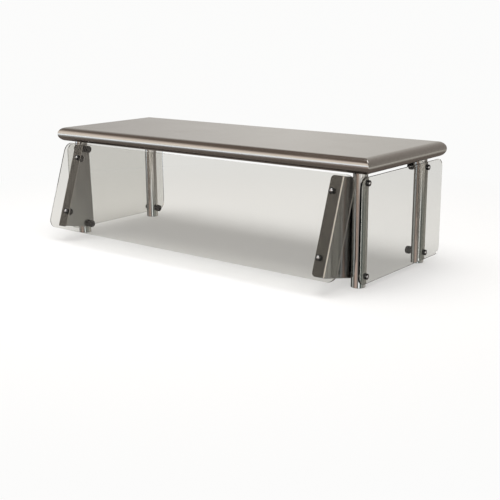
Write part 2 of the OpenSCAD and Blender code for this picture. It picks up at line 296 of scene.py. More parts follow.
def math_node(tree, operation, a, b=0.0, clamp=False):
    """The result of one operation on one or two values."""
    return add(tree, "Math", {0: a, 1: b}, operation=operation, use_clamp=clamp).outputs[0]


def product(tree, a, b):
    """Two values multiplied."""
    return math_node(tree, "MULTIPLY", a, b)


def distance(tree, a, b):
    """How far two values are apart."""
    return math_node(tree, "ABSOLUTE", math_node(tree, "SUBTRACT", a, b))


def spread(tree, value, low, high, to_low, to_high):
    """Maps low..high onto to_low..to_high, held at the ends."""
    return add(tree, "MapRange",
               {"Value": value, "From Min": low, "From Max": high, "To Min": to_low, "To Max": to_high}
               ).outputs["Result"]


def noise(tree, where, scale, detail, **more):
    """Cloudy noise around 0.5; more names its other inputs, such as Roughness and Distortion."""
    values = {"Vector": where, "Scale": scale, "Detail": detail, **more}
    return add(tree, "TexNoise", values).outputs["Fac"]


def brushed_group():
    """Grain of brushed metal: noise drawn out along X, fine and coarse, as streaks around 0."""
    tree, given, out = group("brushed grain", ["Length", "Fineness"], ["Streaks"])
    part = add(tree, "SeparateXYZ", {0: given["Vector"]})
    along = product(tree, part.outputs["X"], given["Length"])
    streaks = []
    for share in (1.0, 0.22):
        reach = product(tree, given["Fineness"], share)
        across = [product(tree, part.outputs[axis], reach) for axis in "YZ"]
        place = add(tree, "CombineXYZ", {"X": along, "Y": across[0], "Z": across[1]})
        drawn_out = noise(tree, place.outputs[0], 1.0, 3.0, Roughness=0.6)
        streaks.append(math_node(tree, "SUBTRACT", drawn_out, 0.5))
    fine, coarse = streaks
    both = math_node(tree, "ADD", product(tree, fine, 0.45), coarse)
    tree.links.new(both, out["Streaks"])
    return tree


def handled_group():
    """Smudges and wipe marks: broad cloudy patches and fainter swirls, from 0 to 1."""
    tree, given, out = group("handling marks", ["Size"], ["Marks", "Cloud"])
    where, size = given["Vector"], given["Size"]
    cloud = noise(tree, where, size, 4.0, Roughness=0.55, Distortion=0.6)
    finer = product(tree, size, 4.3)
    swirl = noise(tree, where, finer, 6.0, Roughness=0.7, Distortion=1.5)
    patch = spread(tree, cloud, 0.42, 0.68, 0.0, 1.0)
    tree.links.new(product(tree, patch, swirl), out["Marks"])
    tree.links.new(cloud, out["Cloud"])
    return tree


def worn_edge_group():
    """Bright worn edges: how far the rounded normal departs from the true one, broken by noise."""
    tree, given, out = group("worn edges", ["Reach"], ["Wear"])
    soft = add(tree, "Bevel", {"Radius": given["Reach"]}, samples=4).outputs[0]
    true = add(tree, "NewGeometry").outputs["Normal"]
    dot = add(tree, "VectorMath", {0: soft, 1: true}, operation="DOT_PRODUCT")
    turn = spread(tree, dot.outputs["Value"], 0.995, 0.85, 0.0, 1.0)
    gaps = noise(tree, given["Vector"], 300.0, 3.0)
    broken = spread(tree, gaps, 0.35, 0.6, 0.35, 1.0)
    tree.links.new(math_node(tree, "MULTIPLY", turn, broken, clamp=True), out["Wear"])
    return tree


BRUSHED = brushed_group()
HANDLED = handled_group()
WORN = worn_edge_group()


# -------- materials

def material(name, **sockets):
    """A material with a Principled shader whose plain sockets are set, and its tree."""
    made = bpy.data.materials.new(name)
    made.use_nodes = True
    tree = made.node_tree
    tree.nodes.clear()
    shader = add(tree, "BsdfPrincipled", {key.replace("_", " "): sockets[key] for key in sockets})
    add(tree, "OutputMaterial", {"Surface": shader.outputs[0]})
    return made, tree, shader


GRAIN_DEPTH = 0.4 * MM
UPRIGHT = (0, math.pi / 2, 0)  # turns a grain along X so that it runs along Z


def place_on(tree, turn=(0, 0, 0)):
    """Object coordinates, turned."""
    where = add(tree, "TexCoord").outputs["Object"]
    return add(tree, "Mapping", {"Vector": where, "Rotation": turn}).outputs[0]


def blend_colours(tree, share, first, second):
    """Mixes two colours: the share of the second goes from 0 to 1."""
    return add(tree, "Mix", {0: share, 6: first, 7: second}, data_type="RGBA").outputs[2]


def blend_shaders(tree, share, first, second):
    """Mixes two shaders: the share of the second goes from 0 to 1."""
    return add(tree, "MixShader", {0: share, 1: first, 2: second}).outputs[0]


def put_on(tree, surface):
    """Makes a shader the material's surface."""
    tree.links.new(surface, tree.nodes["Material Output"].inputs["Surface"])


def streaks_of(tree, where, length, fineness):
    """Streaks around 0: how often they change in a metre along X, and in a metre across it."""
    given = {"Vector": where, "Length": length, "Fineness": fineness}
    return add(tree, "Group", given, node_tree=BRUSHED).outputs["Streaks"]


def marks_of(tree, where, size=9.0):
    """Wipe marks and cloud from 0 to 1: size is about the number of patches in a metre."""
    return add(tree, "Group", {"Vector": where, "Size": size}, node_tree=HANDLED).outputs


def wear_of(tree, where, reach):
    """Wear from 0 to 1 within a reach of the edges."""
    return add(tree, "Group", {"Vector": where, "Reach": reach}, node_tree=WORN).outputs["Wear"]


def relief(tree, shader, height, strength, depth):
    """Bumps on the surface from a height."""
    bumps = add(tree, "Bump", {"Strength": strength, "Distance": depth, "Height": height})
    tree.links.new(bumps.outputs[0], shader.inputs["Normal"])


def roughness(tree, shader, marks, share, plain):
    """Roughness that is a plain value, or a socket, and higher where the surface is marked."""
    uneven = product(tree, marks["Marks"], share)
    tree.links.new(math_node(tree, "ADD", uneven, plain), shader.inputs["Roughness"])


def brushed_steel(name, dark, light, rough, spread_of_rough, length, fineness, bump=0.06,
                  smudge=0.05, turn=(0, 0, 0), painted_bend_highlight=None):
    """Brushed metal: a grain along X after the turn, and wipe marks. With a painted bend highlight it also
    gets painted shade and a painted highlight, set by the way its faces point.
    """
    made, tree, shader = material(name, Metallic=1.0)
    where = place_on(tree, turn)
    streaks = streaks_of(tree, where, length, fineness)
    colour = blend_colours(tree, spread(tree, streaks, -0.2, 0.2, 0.0, 1.0), dark, light)
    # painted shade and a painted highlight, chosen by the way each face points
    if painted_bend_highlight:
        colour = facing_shade_and_bend_highlight(tree, colour, painted_bend_highlight)
    tree.links.new(colour, shader.inputs["Base Color"])
    streak_rough = spread(tree, streaks, -0.4, 0.4, rough - spread_of_rough, rough + spread_of_rough)
    roughness(tree, shader, marks_of(tree, where), smudge, streak_rough)
    relief(tree, shader, streaks, bump, GRAIN_DEPTH)
    return made


def facing_shade_and_bend_highlight(tree, colour, painted_bend_highlight):
    """Painted shade and a painted highlight for a sheet with a bend across X, set by the way each face
    points in world space:
    the colour is darkened where a face points away from X, as on the flange, and a bright painted
    highlight lies along the bend, where it faces X in part."""
    normal = add(tree, "NewGeometry").outputs["Normal"]
    facing = add(tree, "SeparateXYZ", {0: normal}).outputs["X"]
    facing = math_node(tree, "ABSOLUTE", facing)
    bent = product(tree, spread(tree, facing, 0.12, 0.3, 0.0, 1.0),
                   spread(tree, facing, 0.90, 0.96, 1.0, 0.0))
    # painted shade: faces that point away from X are darkened
    darker = blend_colours(tree, 0.7, colour, (0.0, 0.0, 0.0, 1))
    colour = blend_colours(tree, spread(tree, facing, 0.1, 0.3, 0.0, 1.0), darker, colour)
    # painted highlight along the bend
    return blend_colours(tree, bent, colour, painted_bend_highlight)


def polished_tube(name):
    """Polished tube: faint streaks up it from polishing, and soft smudges."""
    made, tree, shader = material(name, Metallic=1.0)
    streaks = streaks_of(tree, place_on(tree, UPRIGHT), 5.0, 700.0)
    tone = spread(tree, streaks, -0.35, 0.35, 0.0, 1.0)
    colour = blend_colours(tree, tone, (0.50, 0.49, 0.47, 1), (0.62, 0.61, 0.59, 1))
    tree.links.new(colour, shader.inputs["Base Color"])
    roughness(tree, shader, marks_of(tree, place_on(tree), 14.0), 0.07, 0.045)
    relief(tree, shader, streaks, 0.015, GRAIN_DEPTH)
    return made


def chrome(name):
    """Plated bolts: finger marks, and edges worn bright."""
    made, tree, shader = material(name, Metallic=1.0)
    where = place_on(tree)
    worn = wear_of(tree, where, 0.6 * MM)
    colour = blend_colours(tree, worn, (0.62, 0.62, 0.62, 1), (0.85, 0.85, 0.85, 1))
    tree.links.new(colour, shader.inputs["Base Color"])
    roughness(tree, shader, marks_of(tree, where, 120.0), 0.12, 0.16)
    return made


def clear_glass(name):
    """Low-reflection toughened glass: a grey body, faint wipe marks, open to lamps' rays."""
    made, tree, shader = material(name, Metallic=0.0, Transmission_Weight=1.0, IOR=1.25,
                                  Base_Color=(0.745, 0.74, 0.715, 1))
    roughness(tree, shader, marks_of(tree, place_on(tree), 11.0), 0.035, 0.0)
    clear = add(tree, "BsdfTransparent", {"Color": (0.88, 0.88, 0.865, 1)})
    lamp_ray = add(tree, "LightPath").outputs["Is Shadow Ray"]
    put_on(tree, blend_shaders(tree, lamp_ray, shader.outputs[0], clear.outputs[0]))
    return made


def moulded(name, dark, light, rough, grain_size, bump, wear_tone):
    """Moulded plastic or rubber: fine grain, a cloudy tone and paler rubbed edges."""
    made, tree, shader = material(name, Specular_IOR_Level=0.3)
    where = place_on(tree)
    marks = marks_of(tree, where, 90.0)
    body = blend_colours(tree, marks["Cloud"], dark, light)
    rubbed = product(tree, wear_of(tree, where, 0.8 * MM), 0.6)
    tree.links.new(blend_colours(tree, rubbed, body, wear_tone), shader.inputs["Base Color"])
    roughness(tree, shader, marks, 0.15, rough)
    relief(tree, shader, noise(tree, where, grain_size, 4.0), bump, 0.3 * MM)
    return made


SHELF = brushed_steel("shelf steel", (0.525, 0.50, 0.47, 1), (0.60, 0.58, 0.55, 1), 0.19, 0.03,
                      3.0, 700.0, 0.012)
# the brackets get painted shade on faces that point away from X and a painted highlight along the bend
BRACKET = brushed_steel("bracket steel", (0.30, 0.295, 0.29, 1), (0.44, 0.435, 0.42, 1), 0.15, 0.04,
                        9.0, 520.0, 0.012, 0.12, UPRIGHT, painted_bend_highlight=(0.86, 0.82, 0.78, 1))
PLAIN = brushed_steel("mill steel", (0.42, 0.42, 0.42, 1), (0.55, 0.55, 0.55, 1), 0.38, 0.06,
                      5.0, 500.0, 0.02, 0.15)
TUBE = polished_tube("polished tube")
CHROME = chrome("bolt chrome")
GLASS = clear_glass("clear glass")
KNOB = moulded("knob plastic", (0.010, 0.010, 0.011, 1), (0.022, 0.022, 0.024, 1), 0.34, 2600.0,
               0.12, (0.07, 0.07, 0.072, 1))
RUBBER = moulded("black rubber", (0.012, 0.012, 0.012, 1), (0.03, 0.03, 0.029, 1), 0.62, 1800.0,
                 0.2, (0.06, 0.06, 0.058, 1))
NYLON = moulded("natural nylon", (0.62, 0.61, 0.57, 1), (0.72, 0.71, 0.67, 1), 0.45, 1500.0,
                0.08, (0.8, 0.79, 0.76, 1))
BRASS = brushed_steel("turned brass", (0.50, 0.36, 0.15, 1), (0.70, 0.52, 0.25, 1), 0.28, 0.06,
                      40.0, 2500.0)


# -------- shelf

def shelf_surface():
    """The shelf as one closed skin: a section carried round the rectangle of its flat top.

    The section runs from the middle of the top outwards, over the half-round edge, in along the
    lip, up the hem, and back along the inner face of the sheet to the middle of the underside.
    A point of it is a distance d outside the flat's border, at a height z. There the path is the
    rectangle grown by d, with arcs of the mitre's small radius for corners, so the mitres stay
    crisp. Inside the border the rectangle shrinks evenly to a point.
    """
    low, high = corners_of("shelf_pan")
    edge_r = (high[2] - low[2]) / 2
    sheet = 1.5 * MM
    lip = 8 * MM
    hem = 6 * MM
    mitre_r = 1.6 * MM
    half = (high[:2] - low[:2]) / 2 - edge_r
    mid = (low[:2] + high[:2]) / 2
    axis_z = low[2] + edge_r
    arc = np.linspace(math.pi / 2, -math.pi / 2, 37)
    round_edge = np.column_stack([np.cos(arc), np.sin(arc)])
    outer = round_edge * edge_r + [0, axis_z]
    inner = round_edge[::-1] * (edge_r - sheet) + [0, axis_z]
    foot = low[2]
    fold = rounded([(0, foot), (-lip, foot), (-lip, foot + hem), (-lip + sheet, foot + hem),
                    (-lip + sheet, foot + sheet), (0, foot + sheet)],
                   [0, 1.4 * MM, 0.6 * MM, 0.6 * MM, 0.3 * MM, 0], 5)
    section = np.concatenate([outer, fold[1:-1], inner])
    corner_turn = np.linspace(0, math.pi / 2, 7)[1:-1]

    def loop(grow):
        """The rectangle grown by a distance, with small arcs for corners: each side in turn runs
        ahead, outside the middle, and the arc after it begins facing out."""
        reach = half + grow
        radius = min(mitre_r, 0.4 * reach.min())
        flat = reach - radius
        path = []
        for k, (ahead, out) in enumerate((((1, 0), (0, -1)), ((0, 1), (1, 0)),
                                          ((-1, 0), (0, 1)), ((0, -1), (-1, 0)))):
            ahead, out = np.array(ahead), np.array(out)
            share = np.linspace(-1, 1, (72, 26)[k % 2])[:, None]
            path.append(share * ahead * flat + out * reach)
            turn = (k - 1) * math.pi / 2 + corner_turn
            path.append((ahead + out) * flat + radius * np.column_stack([np.cos(turn), np.sin(turn)]))
        return np.concatenate(path)

    border = loop(0.0)
    fractions = np.append(np.linspace(0, 1, 22)[:-1], 0.997)
    ripple = 0.10 * MM

    def sag(xy):
        """Slight unevenness of a large sheet: three long waves, dying out at the border."""
        u, v = xy[:, 0] / half[0], xy[:, 1] / half[1]
        fade = (1 - u ** 6) * (1 - v ** 6)
        wave = np.sin(5.1 * u + 1.3 * v)
        wave += 0.7 * np.sin(9.7 * u - 2.9 * v + 1.0)
        wave += 0.5 * np.sin(3.1 * v + 2.0)
        return -ripple * fade * (1.0 + 0.5 * wave)

    def flat_rows(height, shares):
        """Loops of the flat at shares of the way from its middle to its border."""
        return [np.column_stack([border * share + mid, height + sag(border * share)]) for share in shares]

    around = [np.column_stack([loop(d) + mid, np.full(len(border), z)]) for d, z in section]
    return shell(np.stack([*flat_rows(high[2], fractions), *around,
                           *flat_rows(high[2] - sheet, fractions[::-1])]))


build("shelf", [shelf_surface()], SHELF, "shelf_pan", crease=50)


def channel_section(low, high, across):
    """The outline of a folded hat channel between two corners of its box, with rounded bends."""
    half_out = (high[across] - low[across]) / 2
    mid = (low[across] + high[across]) / 2
    sheet, flange = 2 * MM, 9 * MM
    wall = half_out - flange
    top, bottom = high[2], low[2]
    outline = [(-half_out, top), (-half_out, top - sheet), (-wall, top - sheet), (-wall, bottom),
               (wall, bottom), (wall, top - sheet), (half_out, top - sheet), (half_out, top),
               (wall - sheet, top), (wall - sheet, bottom + sheet),
               (-wall + sheet, bottom + sheet), (-wall + sheet, top)]
    outer, inner, rim = 3.0 * MM, 1.2 * MM, 0.4 * MM
    radii = [rim, rim, inner, outer, outer, inner, rim, rim, outer, inner, inner, outer]
    return rounded(outline, radii, 5) + [mid, 0.0]


def channel(name, node, along):
    """A channel along X (0) or Y (1): its section carried along, and its two flat ends."""
    low, high = corners_of(node)
    section = channel_section(low, high, 1 - along)
    columns = [section[:, 0], section[:, 0], section[:, 1]]
    rows = []
    for place in (low[along], high[along]):
        columns[along] = np.full(len(section), place)
        rows.append(np.column_stack(columns))
    verts, quads = skin(np.stack(rows))
    around = np.arange(len(section))
    end = triangles(section, np.column_stack([around, np.roll(around, -1)]).tolist())
    faces = [*quads.tolist(), *end[:, ::-1].tolist(), *(end + len(section)).tolist()]
    build(name, [(verts, faces)], PLAIN, node)


channel("channel left", "shelf_channel_left", 1)
channel("channel right", "shelf_channel_right", 1)
channel("stiffener", "shelf_stiffener", 0)


# -------- posts

def post(corner):
    """A tube with rounded rims; its section turned round the post's axis."""
    node = "post_" + corner
    low, high = corners_of(node)
    x, y, _ = centre_of(node)
    radius = (high[0] - low[0]) / 2
    wall, rim = 1.6 * MM, 0.5 * MM
    tube = ring_shell(radius, radius - wall, 0.0, high[2] - low[2], rim, (x, y, low[2]), UP_Z, steps=96)
    build("post " + corner.replace("_", " "), [tube], TUBE, node)


for corner in CORNERS:
    post(corner)


def at_posts(make):
    """One shell for each post, from its axis."""
    return [make(*centre_of("post_" + corner)[:2]) for corner in CORNERS]


def rings_at_posts(node, outer, inner, edge):
    """A ring at each post, as high as the node they stand for."""
    low, high = corners_of(node)
    return at_posts(lambda x, y: ring_shell(outer, inner, low[2], high[2], edge, (x, y, 0), UP_Z))


def plugs(name, node):
    """Threaded plugs that fill the ends of the posts."""
    low, high = corners_of(node)
    outer = (high[0] - low[0]) / 2 - centre_of("post_right_front")[0]
    thread_r = 5.0 * MM
    build(name, rings_at_posts(node, outer, thread_r, 0.6 * MM), PLAIN, node)


plugs("foot plugs", "post_foot_plugs")
plugs("top plugs", "post_top_plugs")


def hexagon(points, across_flats, sharp=14):
    """Moves points of a turned shape from a circle onto a hexagon with softened corners.

    The radius at an angle is the inverse of a power mean of the distances to the six sides.
    """
    angle = np.arctan2(points[..., 1], points[..., 0])
    sides = np.stack([np.maximum(np.cos(angle - k * math.pi / 3), 0) for k in range(6)])
    reach = (sides ** sharp).sum(axis=0) ** (-1 / sharp)
    scale = across_flats / 2 * reach / np.maximum(np.hypot(points[..., 0], points[..., 1]), 1e-9)
    return points * np.stack([scale, scale, np.ones_like(scale)], -1)


def hex_head(height, across, steps):
    """A hexagon head whose corners are turned down towards its top and its washer face."""
    level = np.array([0.0, 0.4 * MM, 0.8 * MM, 0.5 * height, height - 1.6 * MM, height - 0.8 * MM, height])
    widest = np.array([0.46, 0.485, 0.5, 0.5, 0.5, 0.49, 0.455]) * across * 1.1536
    head = hexagon(turned([(1.0, h) for h in level], steps), across)
    radius = np.hypot(head[..., 0], head[..., 1])
    head[..., :2] *= (np.minimum(radius, widest[:, None]) / radius)[..., None]
    return head


def hex_bolt(x, y):
    """A hexagon head on a shank whose thread is a zigzag."""
    low, high = corners_of("shelf_bolts")
    head_h, shank_r, pitch, steps = 6.4 * MM, 4.9 * MM, 1.5 * MM, 96
    seat = high[2] - head_h
    length = seat - low[2]
    depth = np.arange(length - 0.8 * MM, 0, -pitch / 4)
    thread = shank_r - 0.45 * MM * np.abs(((depth / pitch) % 1) - 0.5) * 2
    shank = [(0, -length), (shank_r - 0.9 * MM, -length), *zip(thread, -depth), (shank_r - 0.4 * MM, 0)]
    rows = [turned(shank, steps), hex_head(head_h, 16 * MM, steps), turned([(0, head_h)], steps)]
    return shell(np.concatenate(rows) + [x, y, seat])


build("shelf bolts", at_posts(hex_bolt), PLAIN, "shelf_bolts", crease=28)
build("shelf bolt washers", rings_at_posts("shelf_bolt_washers", 10.5 * MM, 5.4 * MM, 0.3 * MM),
      PLAIN, "shelf_bolt_washers")


# -------- clamp bolts and their rubbers

SHEET, PAD, PANE = 2 * MM, 1.5 * MM, 6 * MM  # thickness of a bracket, a rubber pad and the glass
KNOB_GAP = 0.3 * MM  # between a knob and what it bears on
BOLT_R, BOLT_CLEAR_R = 3.0 * MM, 3.1 * MM
HEAD_R, HEAD_H = 5.5 * MM, 3.6 * MM
INSERT_LENGTH = 12 * MM  # a bolt's tip ends level with the insert in its knob


def clamp_axes(kind):
    """(name, point on the axis, direction from the bolt's head to the knob) of each clamp bolt."""
    for body, joint in JOINTS.items():
        if body.startswith("glass_knob_") == (kind == "front"):
            yield (body.replace("_turning", ""), np.array(joint["pos_m"], float),
                   np.array(joint["axis"], float))


def clamp_bolt(head_at, seat, along):
    """A domed head with a hexagon socket, and a shank whose thread is a fine zigzag near its tip."""
    length = float((seat + along * INSERT_LENGTH - head_at) @ along)
    cap_r = (HEAD_R ** 2 + HEAD_H ** 2) / (2 * HEAD_H)
    socket_width, socket_deep = 4.0 * MM, 2.2 * MM
    mouth_r = socket_width / 2 * 1.12
    turn = np.linspace(math.asin(mouth_r / cap_r), math.asin(HEAD_R / cap_r), 14)
    dome = np.column_stack([cap_r * np.sin(turn), cap_r - HEAD_H - cap_r * np.cos(turn)])
    steps = 72
    mouth_z = dome[0, 1]
    floor_z = mouth_z + socket_deep
    well = hexagon(turned([(1, floor_z), (1, mouth_z + 0.2 * MM)], steps), socket_width)
    pitch, thread_length = 1.0 * MM, 24 * MM
    level = np.arange(max(length - thread_length, 1 * MM), length - 0.6 * MM, pitch / 2)
    zigzag = np.where(np.arange(len(level)) % 2 == 0, BOLT_R, BOLT_R - 0.35 * MM)
    outside = [(mouth_r, mouth_z), *dome, (HEAD_R - 0.3 * MM, 0.0), (BOLT_R, 0.0),
               *zip(zigzag, level), (BOLT_R - 0.8 * MM, length), (0, length)]
    rows = np.concatenate([turned([(0, floor_z)], steps), well, turned(outside, steps)])
    return shell(stand(rows, head_at, along))


def rubber_pad(at, along):
    """A rubber washer that starts at a point."""
    return ring_shell(8.5 * MM, BOLT_CLEAR_R, 0, PAD, 0.45 * MM, at, along)


def sleeve(at, along):
    """A nylon sleeve through the glass."""
    return ring_shell(4.3 * MM, BOLT_CLEAR_R, 0, PANE, 0.2 * MM, at, along)


def saddle(at, along, post_r, thin):
    """A rubber washer hollowed to sit on a post: a ring whose near face follows the tube.

    The near face lies at sqrt(post_r^2 - s^2) from the post's axis, where s is the distance from
    the plane of the bolt and the post.
    """
    radius, hole, edge, gap = 9 * MM, BOLT_CLEAR_R, 0.35 * MM, 0.01 * MM
    far = post_r + thin
    angle = np.linspace(0, 2 * math.pi, 64, endpoint=False)
    rows = []
    for r, lift in ((hole, 0), (radius - edge, 0), (radius, 0.12), (radius, 0.88), (radius - edge, 1),
                    (hole + edge, 1), (hole, 0.9)):
        # local X runs up the post, so the distance from the plane is the local Y
        s = r * np.sin(angle)
        near = np.sqrt(post_r ** 2 - s ** 2) + gap
        rows.append(np.column_stack([r * np.cos(angle), s, near + (far - near) * lift]))
    basis = np.stack([UP_Z, -np.cross(UP_Z, along), along])
    return shell(np.stack(rows) @ basis + at, wrap_rows=True)


def fittings(name, shells, material, crease=35.0):
    """A set of small fittings as one piece, called after its node."""
    build(name, shells, material, name.replace(" ", "_"), crease=crease)


def end_clamps():
    """The bolts through the end glass and the posts, with their washers, saddles and sleeves."""
    bolt_low, bolt_high = corners_of("end_glass_bolts")
    under_head = (bolt_high[0] - bolt_low[0]) / 2 - HEAD_H
    pad_low, pad_high = corners_of("end_glass_head_washers")
    pad_out = (pad_high[0] - pad_low[0]) / 2
    post_x = centre_of("post_right_front")[0]
    post_low, post_high = corners_of("post_right_front")
    post_r = (post_high[0] - post_low[0]) / 2
    glass_low, glass_high = corners_of("end_glass_right")
    thin = glass_low[0] - post_x - post_r
    bolts, pads, saddles, sleeves = [], [], [], []
    inner_saddles = {"front": [], "rear": []}
    for name, seat, along in clamp_axes("end"):
        level = seat * [0, 1, 1]
        bolts.append(clamp_bolt(level - along * under_head, seat, along))
        pads.append(rubber_pad(level - along * pad_out, along))
        axis = level - along * post_x
        saddles.append(saddle(axis, -along, post_r, thin))
        inner_saddles["front" if "front" in name else "rear"].append(saddle(axis, along, post_r, thin))
        sleeves.append(sleeve(level - along * glass_high[0], along))
    fittings("end glass bolts", bolts, CHROME, 30)
    fittings("end glass head washers", pads, RUBBER)
    fittings("end glass saddles", saddles, RUBBER)
    fittings("bracket saddles", inner_saddles["front"], RUBBER)
    fittings("rear knob saddles", inner_saddles["rear"], RUBBER)
    fittings("end glass sleeves", sleeves, NYLON)


def front_clamps():
    """The bolts through the front glass and the brackets' flanges, with their pads and sleeves."""
    bolts, heads, pads, sleeves = [], [], [], []
    for _, seat, along in clamp_axes("front"):
        face = seat - along * (SHEET + KNOB_GAP)
        under_head = face - along * (2 * PAD + PANE)
        bolts.append(clamp_bolt(under_head, seat, along))
        heads.append(rubber_pad(under_head, along))
        pads.append(rubber_pad(face - along * PAD, along))
        sleeves.append(sleeve(face - along * (PAD + PANE), along))
    fittings("front glass bolts", bolts, CHROME, 30)
    fittings("front glass head washers", heads, RUBBER)
    fittings("front glass pads", pads, RUBBER)
    fittings("front glass sleeves", sleeves, NYLON)


end_clamps()
front_clamps()


# -------- glass

GLASS_HOLE_R, GLASS_EDGE = 4.4 * MM, 0.9 * MM


def end_pane(name, side):
    """A rounded rectangle of glass in the Y-Z plane with two holes at each post."""
    node = "end_glass_" + name
    low, high = corners_of(node)
    holes = [circle(seat[1:], GLASS_HOLE_R) for _, seat, along in clamp_axes("end") if along[0] * side < 0]
    verts, faces = plate(round_rect(low[1:], high[1:], 25 * MM), holes, high[0] - low[0], GLASS_EDGE)
    placed = np.column_stack([verts[:, 2] + (low[0] + high[0]) / 2, verts[:, :2]])
    build("end glass " + name, [(placed, faces)], GLASS, node)


for side_name, side in SIDES.items():
    end_pane(side_name, side)


# Directions of the slope's frame: across, up the slope, and out towards the guest
ACROSS = np.array([1.0, 0.0, 0.0])
UP = np.cross(ACROSS, SLOPE_AXIS)
OUTWARD = -SLOPE_AXIS


def bend_corner():
    """The top of the bend: the highest, foremost edge of the right-hand bracket."""
    low, high = corners_of("bracket_right")
    face = next(seat - along * (SHEET + KNOB_GAP) for _, seat, along in clamp_axes("front"))
    y = face[1] + UP[1] * (high[2] - face[2]) / UP[2]
    return np.array([high[0], y, high[2]])


BEND = bend_corner()
BEND_MIDDLE = BEND * [0, 1, 1]


def down_to(height):
    """Distance down the slope from the bend to a height above the counter."""
    return (BEND[2] - height) / math.cos(TILT)


def front_pane():
    """A rounded rectangle of glass on the slope, in front of the pads, with four holes."""
    low, high = corners_of("front_glass")
    half_x = (high[0] - low[0]) / 2
    rise, gap_below = 4 * MM, 42 * MM
    outline = round_rect((-half_x, -down_to(gap_below)), (half_x, rise), 30 * MM)
    holes = [circle((seat[0], (seat - BEND_MIDDLE) @ UP), GLASS_HOLE_R)
             for _, seat, _ in clamp_axes("front")]
    verts, faces = plate(outline, holes, PANE, GLASS_EDGE)
    placed = BEND_MIDDLE + verts @ np.stack([ACROSS, UP, OUTWARD]) + OUTWARD * (PAD + PANE / 2)
    build("front glass", [(placed, faces)], GLASS, "front_glass")


front_pane()


# -------- brackets

def bracket(name, side):
    """A bracket made as its flat blank and folded.

    The blank is a plate in (u, v): u runs from the flange's free edge across the bend to the side
    plate's rear edge, v runs up the slope. Folding leaves v alone. Across, the flange is flat up
    to u = flat, the bend is an arc of the mid radius, and the side plate runs on square to it.
    """
    node = "bracket_" + name
    flange_w, bend_r, hole_r = 40 * MM, 4 * MM, 3.4 * MM
    length = down_to(50 * MM)
    mid_r = bend_r - SHEET / 2
    flat = flange_w - bend_r
    arc = mid_r * math.pi / 2
    free_edge = BEND[0] - flange_w

    def on_side_plate(y, z):
        """Where a point of the side plate lies on the blank."""
        away = np.array([0, y, z]) - BEND_MIDDLE
        return flat + arc - bend_r + away @ SLOPE_AXIS, away @ UP

    post_y = centre_of("post_right_front")[1]
    bottom = corners_of(node)[0][2]
    rear = [on_side_plate(post_y + 20 * MM, bottom), on_side_plate(post_y + 13 * MM, BEND[2] - 12 * MM)]
    bends = flat + np.linspace(0, arc, 9)
    straight = [0] * len(bends)
    corners = [(0, 0), (0, -length), *((u, -length) for u in bends), *rear, *((u, 0) for u in bends[::-1])]
    radii = [11 * MM, 11 * MM, *straight, 7 * MM, 7 * MM, *straight]
    outline = rounded(corners, radii, 8)

    def nearest(u, v):
        """The number of the outline's point nearest to a place on the blank."""
        return int(np.argmin(np.abs(outline - [u, v]).sum(axis=1)))

    folds = [(nearest(u, 0), nearest(u, -length)) for u in bends]
    holes = [circle((abs(seat[0]) - free_edge, (seat - BEND_MIDDLE) @ UP), hole_r)
             for _, seat, _ in clamp_axes("front") if seat[0] * side > 0]
    holes += [circle(on_side_plate(*seat[1:]), hole_r)
              for body, seat, along in clamp_axes("end") if along[0] * side < 0 and "front" in body]
    verts, faces = plate(outline, holes, SHEET, 0.4 * MM, folds)
    u, v, w = verts.T
    turn = np.clip((u - flat) / mid_r, 0, math.pi / 2)
    beyond = np.maximum(u - flat - arc, 0)
    across = free_edge + np.minimum(u, flat) + (mid_r + w) * np.sin(turn)
    depth = bend_r - (mid_r + w) * np.cos(turn) + beyond
    placed = BEND_MIDDLE + np.column_stack([side * across, v, depth]) @ np.stack([ACROSS, UP, SLOPE_AXIS])
    build("bracket " + name, [(placed, faces)], BRACKET, node, crease=30)


for side_name, side in SIDES.items():
    bracket(side_name, side)


# -------- knobs

def knob_shell(at, along):
    """A moulded hand knob: its section turned round the bolt, its rim waved into flutes.

    Each of the fourteen hollows takes depth * (1 - |sin(7 * angle)|) ^ 2.2 off the radius, all of
    it at the rim and none of it inside the radius where the flutes begin.
    """
    radius, height, wall = 12 * MM, 17 * MM, 3 * MM
    boss_r, boss_h, bore_r = 7.5 * MM, 4 * MM, 5 * MM
    flutes_from, flutes_over, depth = 9.0 * MM, 2.6 * MM, 0.95 * MM
    section = rounded([(0, height - wall), (bore_r, height - wall), (bore_r, 0), (boss_r, 0),
                       (boss_r - 0.2 * MM, boss_h), (radius, boss_h), (radius, height), (0, height)],
                      [0, 0, 0.4 * MM, 0.6 * MM, 0.8 * MM, 1.2 * MM, 4.0 * MM, 0], 7)
    points = turned(section, 168)
    angle = np.arctan2(points[..., 1], points[..., 0])
    r = np.hypot(points[..., 0], points[..., 1])
    share = np.clip((r - flutes_from) / flutes_over, 0, 1) ** 1.5
    hollow = depth * (1 - np.abs(np.sin(7 * angle))) ** 2.2
    points[..., :2] *= ((r - share * hollow) / np.maximum(r, 1e-9))[..., None]
    return shell(stand(points, at, along))


def insert_shell(at, along):
    """Brass insert: a bushing with rounded rims, flush with the knob's boss."""
    return ring_shell(5 * MM, 3.05 * MM, 0, INSERT_LENGTH, 0.35 * MM, at, along, steps=48)


def knob_and_insert(knob, seat, along):
    """A knob and its insert, which turn together."""
    insert, body = knob.replace("knob", "insert"), knob + "_turning"
    build(knob.replace("_", " "), [knob_shell(seat, along)], KNOB, knob, body, 40)
    build(insert.replace("_", " "), [insert_shell(seat, along)], BRASS, insert, body)


for body, joint in JOINTS.items():
    knob_and_insert(body.replace("_turning", ""), np.array(joint["pos_m"]), np.array(joint["axis"]))


# -------- studio

BACKDROP = (0.97, 0.97, 0.965, 1)


